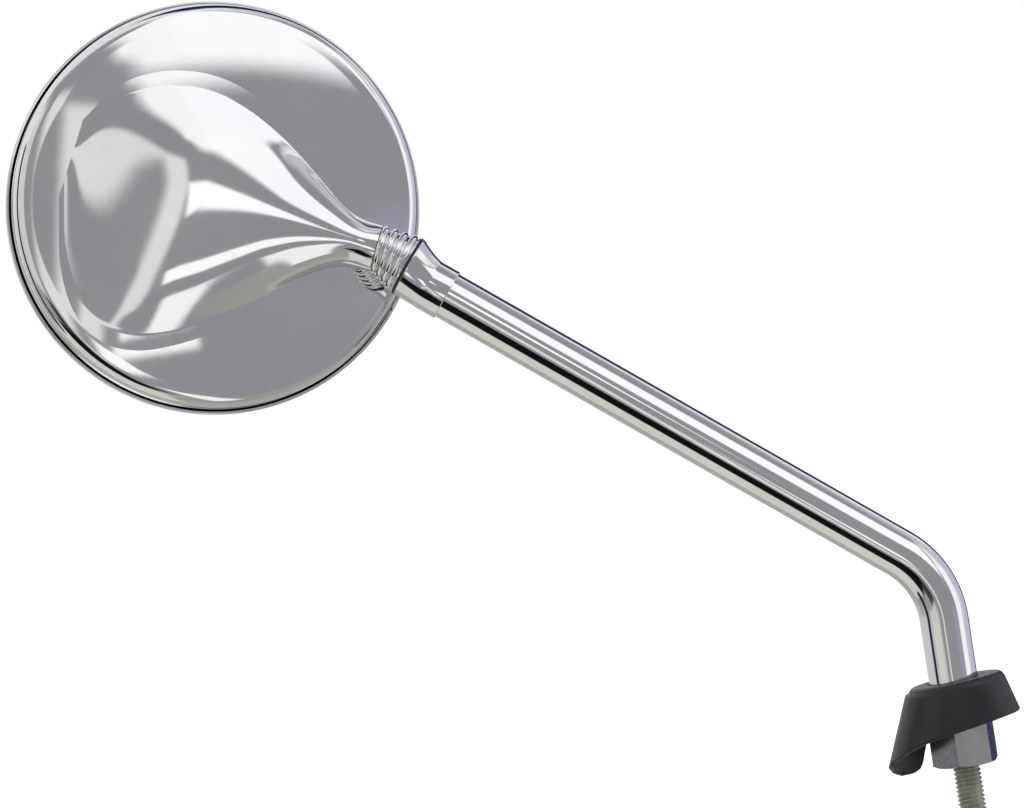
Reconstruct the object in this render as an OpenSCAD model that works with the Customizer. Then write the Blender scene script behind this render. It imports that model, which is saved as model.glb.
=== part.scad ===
// Round motorcycle mirror on a bent stem, seen from the back of its head when looking along +Y.
// Millimetres. The origin is on the stud's axis, at the lower face of the lock nut.

/* [Stem] */
// Outer diameter of the stem tube
tube_d = 14; // [12:0.5:16]
// Wall of the stem tube
tube_wall = 1.5; // [1:0.1:2.5]
// Height of the bend's corner above the nut's lower face
bend_height = 54.7; // [48:0.1:80]
// Angle that the stem turns through
bend_angle = 51.7; // [40:0.1:65]
// Radius of the bend at the tube's centre line
bend_radius = 26.5; // [20:0.5:30]
// Length from the bend's corner to the ball's centre
ball_run = 179.4; // [120:0.1:220]

/* [Ball joint] */
// Diameter of the ball
ball_d = 9.6; // [9:0.1:10]
// Diameter of the ball's shank
shank_d = 5.6; // [4.5:0.1:6]
// Wall of the two nylon liners
liner_wall = 0.85; // [0.6:0.05:1]
// Distance of the ball's centre above the stem's centre line
ball_offset = 1.6; // [0:0.1:2]
// Radius of the collar's round nose
nose_r = 9.5; // [9.2:0.1:10]
// Clearance between the nose and the hollow of the ferrule
nose_gap = 0.45; // [0.35:0.05:0.8]
// Largest tilt of the head in any direction, in degrees
tilt_max = 14.1; // [8:0.1:15]

/* [Collar] */
// Number of rings on the collar
ring_count = 4; // [3:1:5]
// Radius of the ring beside the ferrule
ring_front_r = 8.9; // [8.6:0.1:9]
// Radius of the ring beside the neck
ring_back_r = 7.3; // [6.9:0.1:7.6]
// Half the width of one ring
ring_half = 1.15; // [0.9:0.05:1.3]
// Depth of the grooves between the rings
groove_depth = 0.8; // [0.5:0.1:1]
// Length of the collar from the ball's centre to the neck
collar_back = 6; // [5.8:0.1:7]
// Angle between the stem and the neck
collar_bend = 12.8; // [5:0.1:16]

/* [Ferrule] */
// Length of the sleeve that covers the end of the tube
sleeve_len = 6; // [4:0.5:10]
// Wall of that sleeve
sleeve_wall = 0.5; // [0.4:0.1:1.2]
// Distance from the ball's centre to the lower end of the ferrule
ferrule_run = 18.3; // [17.5:0.1:24]
// Radius of the ferrule's mouth
mouth_r = 9; // [8.9:0.1:9.3]
// Length of the spigot in the tube
spigot_len = 8; // [5:0.5:14]

/* [Head shell] */
// Radius of the shell at its open edge
shell_r = 59; // [55:0.5:66]
// Wall of the pressed shell
shell_wall = 1.2; // [0.8:0.1:1.8]
// Height of the shell's side wall
side_h = 10.5; // [9:0.5:13]
// Taper of the side wall, on the radius
side_taper = 0.9; // [0:0.1:2]
// Radius of the shoulder between the side wall and the back
shoulder_r = 4.5; // [3:0.5:6]
// Rise of the domed back above the shoulder
dome_rise = 6.5; // [5:0.5:8]
// Distance of the head's centre from the ball's centre, across the disc
disc_reach = 52; // [50:0.5:56]
// Angle of that line below the horizontal
disc_droop = 26.2; // [22:0.1:30]
// Height of the ball's centre above the plane of the open edge
ball_height = 24.5; // [24:0.1:28]
// Angle that the head is turned to one side at rest
head_turn = 10; // [5:0.5:12]

/* [Fairing] */
// Radius of the neck
neck_r = 6.75; // [6.4:0.05:7]
// Length of the neck's straight bore
neck_len = 18; // [16:0.5:22]
// Half width of the fairing's bulb
bulb_half = 36; // [30:0.5:38]
// Half length of the fairing's bulb
bulb_run = 42; // [38:0.5:44]
// Distance of the bulb's middle from the neck's end
bulb_at = 58; // [54:0.5:60]
// Sideways offset of the bulb's middle
bulb_drop = 6; // [0:0.5:8]
// Widening of the neck for each millimetre of its length
neck_flare = 0.25; // [0.1:0.01:0.3]

/* [Glass] */
// Radius of the mirror glass
glass_r = 56.3; // [52:0.1:63]
// Thickness of the glass
glass_t = 3; // [2:0.1:4]
// Radius of curvature of the convex glass
glass_curve = 1200; // [900:50:1800]
// Width of the seal's lips over the glass
seal_lip = 2.2; // [1.5:0.1:3]
// Wall of the seal
seal_wall = 0.8; // [0.6:0.1:1]
// Thickness of the backing board
board_t = 1.5; // [1:0.1:2]
// Radius of the foam pad
foam_r = 44; // [35:0.5:46]
// Thickness of the foam pad
foam_t = 8.5; // [6:0.5:9]
// Wall of the rim bezel
bezel_wall = 0.8; // [0.5:0.1:1]
// Height of the bezel's side, up the shell
bezel_side = 3.5; // [2:0.1:6]

/* [Mounting] */
// Diameter of the mounting stud
stud_d = 8; // [6:1:10]
// Length of stud below the nut
stud_out = 22; // [18:1:40]
// Width of the lock nut across its flats
nut_flats = 17; // [15:1:17]
// Height of the lock nut
nut_h = 13; // [10:0.5:14]
// Thickness of the spring washer
washer_t = 1.6; // [1.2:0.1:2]
// Outer diameter of the spring washer
washer_d = 14.2; // [12:0.1:15]
// Thickness of the foot's flange
foot_flange = 2.8; // [2:0.1:4]
// Length of the foot inside the tube
foot_len = 12; // [8:0.5:14]

/* [Rubber boot] */
// Height of the boot's top over the stud's axis
boot_top = 24.4; // [23:0.1:28]
// Slope of the boot's top, in degrees
boot_slope = 3.9; // [0:0.1:6]
// Thickness of the boot's top
boot_roof = 3; // [2:0.1:4]
// Wall of the boot's sides
boot_wall = 2; // [1.6:0.1:2.2]
// Half width of the boot at its top
boot_half_top = 12.5; // [11.2:0.1:13]
// Half width of the boot at its lower edge
boot_half_low = 14.5; // [13:0.1:15.5]
// Reach of the tongue below the nut's lower face
tongue_drop = 1.8; // [0:0.1:4]

/* [Fits] */
// Radial clearance of parts that turn or slide on each other
fit_gap = 0.05; // [0.03:0.01:0.1]
// Clearance between faces that never touch
face_gap = 0.3; // [0.3:0.05:0.6]
// Clearance of rubber, foam and board in the head
soft_gap = 0.1; // [0.05:0.05:0.2]

/* [Hidden] */

$fn = 64;
chrome = [0.78, 0.79, 0.81];
steel = [0.62, 0.63, 0.62];
nylon = [0.92, 0.91, 0.86];
black = [0.09, 0.09, 0.1];
past = 1; // how far a cut runs past the face it opens

tube_r = tube_d / 2;
tube_bore_r = tube_r - tube_wall;
ball_r = ball_d / 2;
shank_r = shank_d / 2;
liner_in_r = ball_r + fit_gap;
liner_out_r = liner_in_r + liner_wall;
cavity_r = liner_out_r + fit_gap;
hollow_r = nose_r + nose_gap;
stem_rise = 90 - bend_angle;
neck_rise = stem_rise - collar_bend;

// The ball's centre, at its offset above the stem's centre line
ball_at = [-ball_run * cos(stem_rise) + ball_offset * sin(stem_rise), 0,
    bend_height + ball_run * sin(stem_rise) + ball_offset * cos(stem_rise)];

// Frames: the joint's runs from the ball up the stem's line, the neck's starts at the collar's back face, and
// the head's lies on the plane of the open edge with +Z out of the shell's back.
module joint_frame() translate(ball_at) rotate([0, -bend_angle, 0]) children();
module stem_frame() joint_frame() translate([-ball_offset, 0, 0]) children();
module neck_frame() joint_frame() translate([0, 0, collar_back]) rotate([0, -collar_bend, 0]) children();
module head_frame() translate(ball_at) rotate([0, 0, head_turn])
    translate([-disc_reach * cos(disc_droop), ball_height, disc_reach * sin(disc_droop)])
    rotate([90, 0, 0]) children();

// The neck's end and direction, seen in the head's frame
neck_dir = [-cos(neck_rise) * cos(head_turn), sin(neck_rise), -cos(neck_rise) * sin(head_turn)];
stem_dir = [-cos(stem_rise) * cos(head_turn), sin(stem_rise), -cos(stem_rise) * sin(head_turn)];
neck_turn = atan2(neck_dir[1], -neck_dir[0]);
neck_end = [disc_reach * cos(disc_droop), -disc_reach * sin(disc_droop), ball_height] + collar_back * stem_dir;

// The pressed shell: a domed back with the fairing drawn out of it, a tight shoulder and a side wall
wall_top_r = shell_r - side_taper;
dome_edge_r = wall_top_r - shoulder_r;
dome_edge_z = side_h + shoulder_r;
dome_curve = (dome_edge_r * dome_edge_r + dome_rise * dome_rise) / (2 * dome_rise);
crown_z = dome_edge_z + dome_rise;
function dome_z(r, inset = 0) = crown_z - dome_curve + sqrt(pow(dome_curve - inset, 2) - r * r);

// The fairing's height over the back, by its distance along its axis and to one side of it. Its half width
// joins the neck to the bulb, and its top runs down from the neck to the far side of the back.
top_fall = 0.04;
top_curve = 0.00125;
root_z = dome_edge_z + 2.3;
front_at = 9;
front_fall = 0.35;
blend_power = 6;
blend_height = 1.6;
function ease(u) = let (v = min(1, max(0, u))) v * v * (3 - 2 * v);
function bulb_w(a) = bulb_half * sqrt(max(0, 1 - pow((bulb_at - a) / bulb_run, 2)));
function half_w(a) = a > bulb_at ? bulb_w(a) : pow(pow(neck_r + neck_flare * max(a, 0), blend_power)
    * (1 - ease(a / bulb_at)) + pow(bulb_w(a), blend_power), 1 / blend_power);
function top_z(a, shift) = neck_end[2] + neck_r - top_fall * a - top_curve * a * a
    - front_fall * pow(max(0, front_at + shift - a), 2);
function side_at(a) = bulb_drop * ease((a - 8) / (bulb_at - 14));
function fairing_z(a, side, inset) = let (
    u = (side - side_at(a)) / max(1, half_w(a) - inset),
    rise = top_z(a, 3 * inset) - root_z - inset)
    abs(u) >= 1 || rise <= 0 ? 0 : root_z + rise * sqrt(1 - u * u);
function soft_max(p, q) = max(p, q) + pow(max(0, blend_height - abs(p - q)), 2) / (4 * blend_height);
function back_z(x, y, inset) = let (
    dx = x - neck_end[0],
    dy = y - neck_end[1],
    a = -dx * cos(neck_turn) + dy * sin(neck_turn),
    side = -dx * sin(neck_turn) - dy * cos(neck_turn))
    soft_max(dome_z(norm([x, y]), inset), fairing_z(a, side, inset));

// The shell's skin as rings of points, from the middle of the back over the rim to the middle of the inside.
// The rings' points lie closer together on the neck's side.
sectors = 56;
back_rings = [4, 9, 14, 19, 24, 28, 32, 35.5, 39, 42.5, 46, 50];
neck_side = atan2(neck_end[1], neck_end[0]);
function sector_angle(k) = let (u = 2 * k / sectors - 1) neck_side + 180 * (0.3 * u + 0.7 * u * u * u);
shell_rings = concat(
    [for (r = back_rings) [r, 0, 0]],
    [for (a = [90:-22.5:0]) [dome_edge_r + shoulder_r * cos(a), side_h + shoulder_r * sin(a), -1]],
    [[shell_r, 0, -1], [shell_r - shell_wall, 0, -1]],
    [for (a = [0:22.5:90]) let (r = shoulder_r - shell_wall) [dome_edge_r + r * cos(a), side_h + r * sin(a), -1]],
    [for (i = [len(back_rings) - 1:-1:0]) [back_rings[i], 0, shell_wall]]);
function ring_point(ring, k) = let (
    x = ring[0] * cos(sector_angle(k)),
    y = ring[0] * sin(sector_angle(k)))
    [x, y, ring[2] < 0 ? ring[1] : back_z(x, y, ring[2])];

module shell_skin() {
    n = sectors;
    last = len(shell_rings) - 1;
    points = concat([for (ring = shell_rings, k = [0:n - 1]) ring_point(ring, k)],
        [[0, 0, back_z(0, 0, 0)], [0, 0, back_z(0, 0, shell_wall)]]);
    top = (last + 1) * n;
    polyhedron(points = points, faces = concat(
        [for (k = [0:n - 1]) [top, (k + 1) % n, k]],
        [for (i = [0:last - 1], k = [0:n - 1]) [i * n + k, i * n + (k + 1) % n, (i + 1) * n + (k + 1) % n]],
        [for (i = [0:last - 1], k = [0:n - 1]) [i * n + k, (i + 1) * n + (k + 1) % n, (i + 1) * n + k]],
        [for (k = [0:n - 1]) [top + 1, last * n + k, last * n + (k + 1) % n]]));
}

spigot_out_r = cavity_r - 0.15;
neck_bore_r = spigot_out_r - 0.6;
collar_spigot = 3;

module mirror_shell() color(chrome) difference() {
    union() {
        head_frame() shell_skin();
        neck_frame() cylinder(r = neck_r, h = neck_len);
    }
    neck_frame() translate([0, 0, -past]) cylinder(r = neck_bore_r, h = neck_len + 2 * past);
    neck_frame() translate([0, 0, -past]) cylinder(r = spigot_out_r + fit_gap, h = collar_spigot + fit_gap + past);
}

// Head parts, stacked from the glass side. Heights are in the head's frame, where the open edge is at 0.
glass_face = -0.9;
bezel_r = shell_r + fit_gap + bezel_wall;
seal_low = glass_face - soft_gap - seal_wall;
seal_high = glass_face + glass_t + soft_gap;
shell_in_r = shell_r - shell_wall - side_taper / 2 - 0.25;
board_low = seal_high + seal_wall + soft_gap;

module rim_bezel() color(chrome) head_frame() {
    lip_low = seal_low - soft_gap - bezel_wall;
    rotate_extrude($fn = 96) polygon([
        [glass_r - seal_lip + 0.6, lip_low + 0.2], [glass_r - seal_lip + 1.2, lip_low], [bezel_r - 0.7, lip_low],
        [bezel_r - 0.2, lip_low + 0.25], [bezel_r, lip_low + 0.8], [bezel_r, bezel_side - 0.4],
        [bezel_r - 0.25, bezel_side], [shell_r + fit_gap, bezel_side], [shell_r + fit_gap, seal_low - soft_gap],
        [glass_r - seal_lip + 0.6, seal_low - soft_gap]]);
}

module mirror_glass() color([0.75, 0.8, 0.85]) head_frame() translate([0, 0, glass_face]) {
    sag = glass_curve - sqrt(glass_curve * glass_curve - glass_r * glass_r);
    rotate_extrude($fn = 96) polygon(concat(
        [for (i = [0:8]) let (r = glass_r * i / 8) [r, -sag + glass_curve - sqrt(glass_curve * glass_curve - r * r)]],
        [for (i = [8:-1:0]) let (r = glass_r * i / 8)
            [r, glass_t - sag + glass_curve - sqrt(glass_curve * glass_curve - r * r)]]));
}

module rim_seal() color(black) head_frame() rotate_extrude($fn = 96) polygon([
    [glass_r - seal_lip, seal_low], [shell_in_r - soft_gap, seal_low],
    [shell_in_r - soft_gap, seal_high + seal_wall], [glass_r - seal_lip, seal_high + seal_wall],
    [glass_r - seal_lip, seal_high], [glass_r + soft_gap, seal_high],
    [glass_r + soft_gap, seal_low + seal_wall], [glass_r - seal_lip, seal_low + seal_wall]]);

module backing_board() color([0.35, 0.27, 0.2]) head_frame() translate([0, 0, board_low])
    cylinder(r = shell_in_r - 0.6, h = board_t, $fn = 96);

module foam_pad() color([0.25, 0.25, 0.26]) head_frame() translate([0, 0, board_low + board_t])
    cylinder(r = foam_r, h = foam_t, $fn = 96);

// Collar: rounded rings that fan from the stem's line to the neck's, on a core with a round nose
nose_cut = nose_r - 2.1;
mouth_half = asin(shank_r / liner_in_r) + tilt_max + 1.5;
nose_half = asin(shank_r / nose_r) + tilt_max + 1.7;
module mouth_cone() {
    in_t = liner_in_r * cos(mouth_half);
    in_r = liner_in_r * sin(mouth_half);
    out_t = nose_r * cos(nose_half);
    out_r = nose_r * sin(nose_half);
    slope = (out_r - in_r) / (out_t - in_t);
    translate([0, 0, -out_t - past]) cylinder(r1 = out_r + slope * past, r2 = in_r - slope * in_t, h = out_t + past);
}

module collar_ring(r) rotate_extrude() polygon(concat(
    [[0, -ring_half], [r - ring_half, -ring_half]],
    [for (a = [-75:25:75]) [r - ring_half + ring_half * cos(a), ring_half * sin(a)]],
    [[r - ring_half, ring_half], [0, ring_half]]));

module neck_collar() color(chrome) difference() {
    first_t = -nose_r * cos(asin(ring_front_r / nose_r)) + ring_half + 0.1;
    last_t = collar_back - ring_half;
    union() {
        joint_frame() for (i = [0:ring_count - 1]) let (f = i / (ring_count - 1))
            translate([0, 0, first_t + (last_t - first_t) * f]) rotate([0, -collar_bend * f, 0])
            collar_ring(ring_front_r + (ring_back_r - ring_front_r) * f);
        joint_frame() translate([0, 0, first_t]) cylinder(r1 = ring_front_r - groove_depth,
            r2 = ring_back_r - groove_depth, h = last_t - first_t);
        joint_frame() intersection() {
            sphere(r = nose_r, $fn = 96);
            translate([0, 0, -nose_cut]) cylinder(r = ring_front_r - 0.1, h = nose_cut + first_t);
        }
        neck_frame() cylinder(r = spigot_out_r, h = collar_spigot);
    }
    joint_frame() sphere(r = cavity_r, $fn = 96);
    joint_frame() mouth_cone();
    neck_frame() translate([0, 0, -collar_back / 2]) cylinder(r = neck_bore_r, h = collar_back / 2 + collar_spigot + past);
}

// Ball joint: two thin nylon liners round the ball, each a zone of a hollow sphere
module liner_zone(from, to) difference() {
    intersection() {
        sphere(r = liner_out_r, $fn = 96);
        rotate_extrude() polygon([[0, 0], [20 * sin(from), -20 * cos(from)], [20, -20 * cos((from + to) / 2)],
            [20 * sin(to), -20 * cos(to)]]);
    }
    sphere(r = liner_in_r, $fn = 96);
}
module front_liner() color(nylon) joint_frame() liner_zone(mouth_half, 83);
module rear_liner() color(nylon) joint_frame() liner_zone(97, 150);

// Behind the ball, the pressure cup, spring and stop stay in line with the neck
cup_r = neck_bore_r - soft_gap;
cup_back = 1;
spring_wire = 1.4;
spring_end = 13;
stop_len = 4;
module pressure_cup() color(steel) difference() {
    neck_frame() translate([0, 0, -2.2]) cylinder(r = cup_r, h = 2.2 + cup_back);
    joint_frame() sphere(r = cavity_r + fit_gap, $fn = 96);
}

module joint_spring() color(steel) {
    coil_r = cup_r - spring_wire / 2 - soft_gap;
    turns = 5;
    steps = 14;
    sides = 6;
    rise = spring_end - cup_back - spring_wire;
    rings = turns * steps;
    points = [for (i = [0:rings], k = [0:sides - 1]) let (
        a = 360 * i / steps,
        p = 360 * k / sides,
        r = coil_r + spring_wire / 2 * cos(p))
        [r * cos(a), r * sin(a), cup_back + spring_wire / 2 + rise * i / rings + spring_wire / 2 * sin(p)]];
    neck_frame() polyhedron(points = points, faces = concat(
        [[for (k = [0:sides - 1]) k]],
        [for (i = [0:rings - 1], k = [0:sides - 1])
            [i * sides + k, (i + 1) * sides + (k + 1) % sides, i * sides + (k + 1) % sides]],
        [for (i = [0:rings - 1], k = [0:sides - 1])
            [i * sides + k, (i + 1) * sides + k, (i + 1) * sides + (k + 1) % sides]],
        [[for (k = [sides - 1:-1:0]) rings * sides + k]]));
}

module spring_stop() color(steel) neck_frame() translate([0, 0, spring_end]) difference() {
    cylinder(r = neck_bore_r - fit_gap, h = stop_len);
    translate([0, 0, 1.5]) cylinder(r = 3, h = stop_len, $fn = 6);
}

rivet_r = 3.3;
rivet_t = 1.2;
ferrule_floor = ferrule_run - sleeve_len;
rivet_at = hollow_r + 3.2;
module ball_stud() color(steel) joint_frame() {
    sphere(r = ball_r, $fn = 96);
    translate([0, 0, -rivet_at - rivet_t / 2]) cylinder(r = shank_r, h = rivet_at);
    translate([0, 0, -rivet_at - rivet_t]) cylinder(r = rivet_r, h = rivet_t);
}

// Ferrule: a sleeve on the tube that flares to one side, so that its lower line runs on from the tube's
mouth_t = sqrt(hollow_r * hollow_r - mouth_r * mouth_r) + 0.35;
wiper_t = 0.6;
module stem_ferrule() color(chrome) difference() {
    sleeve_r = tube_r + fit_gap + sleeve_wall;
    union() {
        hull() {
            stem_frame() translate([0, 0, -ferrule_floor - 1]) cylinder(r = sleeve_r, h = 1, $fn = 48);
            joint_frame() translate([0, 0, -mouth_t - 0.8]) cylinder(r = mouth_r, h = 0.8, $fn = 48);
        }
        stem_frame() translate([0, 0, -ferrule_run]) cylinder(r = sleeve_r, h = sleeve_len);
        stem_frame() translate([0, 0, -ferrule_floor - spigot_len]) cylinder(r = tube_bore_r - fit_gap, h = spigot_len);
    }
    stem_frame() translate([0, 0, -ferrule_run - past]) difference() {
        cylinder(r = tube_r + fit_gap, h = sleeve_len + past);
        cylinder(r = tube_bore_r - fit_gap, h = sleeve_len + past);
    }
    joint_frame() sphere(r = hollow_r, $fn = 96);
    joint_frame() translate([0, 0, -rivet_at - past]) cylinder(r = shank_r + fit_gap, h = rivet_at);
    joint_frame() translate([0, 0, -ferrule_floor - spigot_len - past])
        cylinder(r = rivet_r + fit_gap, h = ferrule_floor + spigot_len + past - rivet_at);
}

module wiper_ring() color(black) joint_frame() difference() {
    translate([0, 0, -mouth_t]) cylinder(r = mouth_r - 0.05, h = wiper_t);
    sphere(r = nose_r + face_gap, $fn = 96);
}

// Stem tube: the straight foot, the bend and the long straight up to the ferrule
nut_top = nut_h;
washer_at = nut_top + face_gap;
foot_at = washer_at + washer_t + face_gap;
tube_low = foot_at + foot_flange;
bend_tangent = bend_radius * tan(bend_angle / 2);
bend_overlap = 1;
bend_step = 0.01; // keeps the bend's skin just inside the straight lengths where they meet
module tube_section(r) {
    translate([0, 0, tube_low]) cylinder(r = r, h = bend_height - bend_tangent - tube_low);
    translate([-bend_radius, 0, bend_height - bend_tangent]) rotate([90, 0, 0]) rotate([0, 0, -bend_overlap])
        rotate_extrude(angle = bend_angle + 2 * bend_overlap) translate([bend_radius, 0]) circle(r = r - bend_step);
    stem_frame() translate([0, 0, -ball_run + bend_tangent])
        cylinder(r = r, h = ball_run - bend_tangent - ferrule_floor - fit_gap);
}
module stem_tube() color(chrome) difference() {
    tube_section(tube_r);
    tube_section(tube_bore_r);
}

module stem_foot() color(steel) difference() {
    union() {
        translate([0, 0, foot_at]) cylinder(r = tube_r, h = foot_flange);
        translate([0, 0, tube_low]) cylinder(r = tube_bore_r - fit_gap, h = foot_len);
    }
    translate([0, 0, foot_at - past]) cylinder(r = stud_d / 2 + fit_gap, h = foot_flange + foot_len + 2 * past);
}

stud_chamfer = 0.8;
relief_h = 1;
relief_r = stud_d / 2 - 0.7;
module mounting_stud() color(steel) rotate_extrude() {
    r = stud_d / 2;
    polygon([[0, -stud_out], [r - stud_chamfer, -stud_out], [r, -stud_out + stud_chamfer], [r, 0],
        [relief_r, 0], [relief_r, relief_h], [r, relief_h], [r, tube_low + foot_len], [0, tube_low + foot_len]]);
}

nut_chamfer = 1;
module lock_nut() color(chrome) difference() {
    corner_r = nut_flats / 2 / cos(30);
    chamfer_rise = (nut_chamfer + 1) * 0.58;
    intersection() {
        rotate([0, 0, 12]) linear_extrude(nut_h) circle(r = corner_r, $fn = 6);
        rotate_extrude() polygon([[0, 0], [corner_r - nut_chamfer, 0], [corner_r + 1, chamfer_rise],
            [corner_r + 1, nut_h - chamfer_rise], [corner_r - nut_chamfer, nut_h], [0, nut_h]]);
    }
    translate([0, 0, -past]) cylinder(r = stud_d / 2 + fit_gap, h = nut_h + 2 * past);
}

module spring_washer() color(steel) translate([0, 0, washer_at]) difference() {
    cylinder(d = washer_d, h = washer_t);
    translate([0, 0, -past]) cylinder(r = stud_d / 2 + 2 * fit_gap, h = washer_t + 2 * past);
    translate([0, -0.5, -past]) cube([washer_d, 1, washer_t + 2 * past]);
}

// Boot: a hood that widens downwards, cut along a curved lower edge, with a tongue left on its rear left side
boot_low = -3;
boot_left = -13.2;
boot_right = 14.5;
boot_left_low = -24;
boot_right_low = 22.4;
boot_round = 2;
module boot_plan(z, left, right, half, t) translate([0, 0, z]) hull() {
    translate([left + half, 0, 0]) cylinder(r = half, h = t, $fn = 32);
    translate([right - half, 0, 0]) cylinder(r = half, h = t, $fn = 32);
}
module boot_form(inset, top_cut) hull() {
    translate([0, 0, boot_top]) rotate([0, -boot_slope, 0]) {
        boot_plan(-top_cut - 0.1, boot_left + inset + boot_round, boot_right - inset - boot_round,
            boot_half_top - inset - boot_round, 0.1);
        boot_plan(-top_cut - boot_round, boot_left + inset, boot_right - inset, boot_half_top - inset, 0.1);
        boot_plan(-top_cut - boot_round * 0.3, boot_left + inset + boot_round * 0.3,
            boot_right - inset - boot_round * 0.3, boot_half_top - inset - boot_round * 0.3, 0.1);
    }
    boot_plan(boot_low, boot_left_low + inset, boot_right_low - inset, boot_half_low - inset, 0.1);
}
front_edge = [[24, 14.5], [17.9, 13.2], [12.9, 12.8], [5.3, 11.7], [-0.7, 10.7], [-7.8, 9.4], [-12, 8.4],
    [-17.6, 6.1], [-20, 4.4], [-25, 0]];
rear_edge = [[24, 14.5], [17.9, 13.2], [12.9, 12.8], [5.3, 11.7], [-0.7, 10.3], [-7.5, 8.6], [-9.7, 7.2],
    [-10.6, 4.8], [-11.2, 1.6], [-12.4, 0.2 - tongue_drop / 2], [-14.5, -tongue_drop], [-18.6, -tongue_drop],
    [-20.8, 0.2 - tongue_drop / 2], [-22, 1.6], [-25, 1.6]];
module boot_side(edge) rotate([90, 0, 0]) linear_extrude(20) polygon(concat([[-30, 40], [30, 40], [30, 14.5]], edge,
    [[-30, edge[len(edge) - 1][1]]]));
module rubber_boot() color(black) difference() {
    intersection() {
        boot_form(0, 0);
        union() {
            boot_side(front_edge);
            translate([0, 20, 0]) boot_side(rear_edge);
        }
    }
    boot_form(boot_wall, boot_roof);
    translate([0, 0, boot_top - 8]) cylinder(r = tube_r + fit_gap, h = 16);
}

mirror_shell();
rim_bezel();
mirror_glass();
rim_seal();
backing_board();
foam_pad();
neck_collar();
front_liner();
rear_liner();
pressure_cup();
joint_spring();
spring_stop();
ball_stud();
wiper_ring();
stem_ferrule();
stem_tube();
stem_foot();
mounting_stud();
lock_nut();
spring_washer();
rubber_boot();
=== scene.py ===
import math

import bmesh
import bpy
from mathutils import Matrix, Vector


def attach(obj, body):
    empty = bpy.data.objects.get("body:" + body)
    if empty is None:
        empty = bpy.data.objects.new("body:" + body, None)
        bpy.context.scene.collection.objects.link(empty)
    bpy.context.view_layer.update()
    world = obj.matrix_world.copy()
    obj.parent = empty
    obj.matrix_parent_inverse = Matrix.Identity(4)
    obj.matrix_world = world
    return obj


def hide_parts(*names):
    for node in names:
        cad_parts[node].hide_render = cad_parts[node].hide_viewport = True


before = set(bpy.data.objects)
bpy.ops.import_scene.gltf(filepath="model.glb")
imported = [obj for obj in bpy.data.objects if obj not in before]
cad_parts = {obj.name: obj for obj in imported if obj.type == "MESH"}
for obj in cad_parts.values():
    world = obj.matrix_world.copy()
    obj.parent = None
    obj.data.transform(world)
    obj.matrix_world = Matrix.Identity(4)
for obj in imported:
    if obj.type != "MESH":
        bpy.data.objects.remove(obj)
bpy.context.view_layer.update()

# Main sizes in millimetres and degrees, the same as in the part's source
MM = 0.001
TUBE_R = 7.0
BEND_HEIGHT = 54.7
BEND_ANGLE = 51.7
BEND_R = 26.5
BALL_RUN = 179.4
BALL_OFFSET = 1.6
COLLAR_BACK = 6.0
COLLAR_BEND = 12.8
DISC_REACH = 52.0
DISC_DROOP = 26.2
BALL_HEIGHT = 24.5
HEAD_TURN = 10.0
NECK_R = 6.75
SHELL_R = 59.0
SHELL_WALL = 1.2
SIDE_TAPER = 0.9

# Mesh limits: points closer than MERGE metres are one, and a ring on the axis has the radius AXIS_R
MERGE = 1e-7
AXIS_R = 0.0005


# Small helpers for angles, curves and places
def rad(degrees):
    return math.radians(degrees)


def ease(u):
    """Rises smoothly from 0 to 1 as u does."""
    v = min(1.0, max(0.0, u))
    return v * v * (3 - 2 * v)


def arc(cx, cz, r, start, end, steps):
    angles = [rad(start + (end - start) * i / steps) for i in range(steps + 1)]
    return [(cx + r * math.cos(a), cz + r * math.sin(a)) for a in angles]


def line(p, q, steps):
    return [(p[0] + (q[0] - p[0]) * i / steps, p[1] + (q[1] - p[1]) * i / steps) for i in range(steps + 1)]


def shift(x, y, z):
    return Matrix.Translation((x, y, z))


def turn(degrees, axis):
    return Matrix.Rotation(rad(degrees), 4, axis)


# Frames in millimetres: the ball joint's, the stem's line, the neck's and the head's
stem_rise = 90 - BEND_ANGLE
neck_rise = stem_rise - COLLAR_BEND
ball_x = -BALL_RUN * math.cos(rad(stem_rise)) + BALL_OFFSET * math.sin(rad(stem_rise))
ball_z = BEND_HEIGHT + BALL_RUN * math.sin(rad(stem_rise)) + BALL_OFFSET * math.cos(rad(stem_rise))
ball_frame = shift(ball_x, 0, ball_z)
joint_frame = ball_frame @ turn(-BEND_ANGLE, "Y")
stem_frame = joint_frame @ shift(-BALL_OFFSET, 0, 0)
neck_frame = joint_frame @ shift(0, 0, COLLAR_BACK) @ turn(-COLLAR_BEND, "Y")
disc_x = DISC_REACH * math.cos(rad(DISC_DROOP))
disc_z = DISC_REACH * math.sin(rad(DISC_DROOP))
head_frame = ball_frame @ turn(HEAD_TURN, "Z") @ shift(-disc_x, BALL_HEIGHT, disc_z) @ turn(90, "X")
upright = Matrix.Identity(4)


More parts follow.
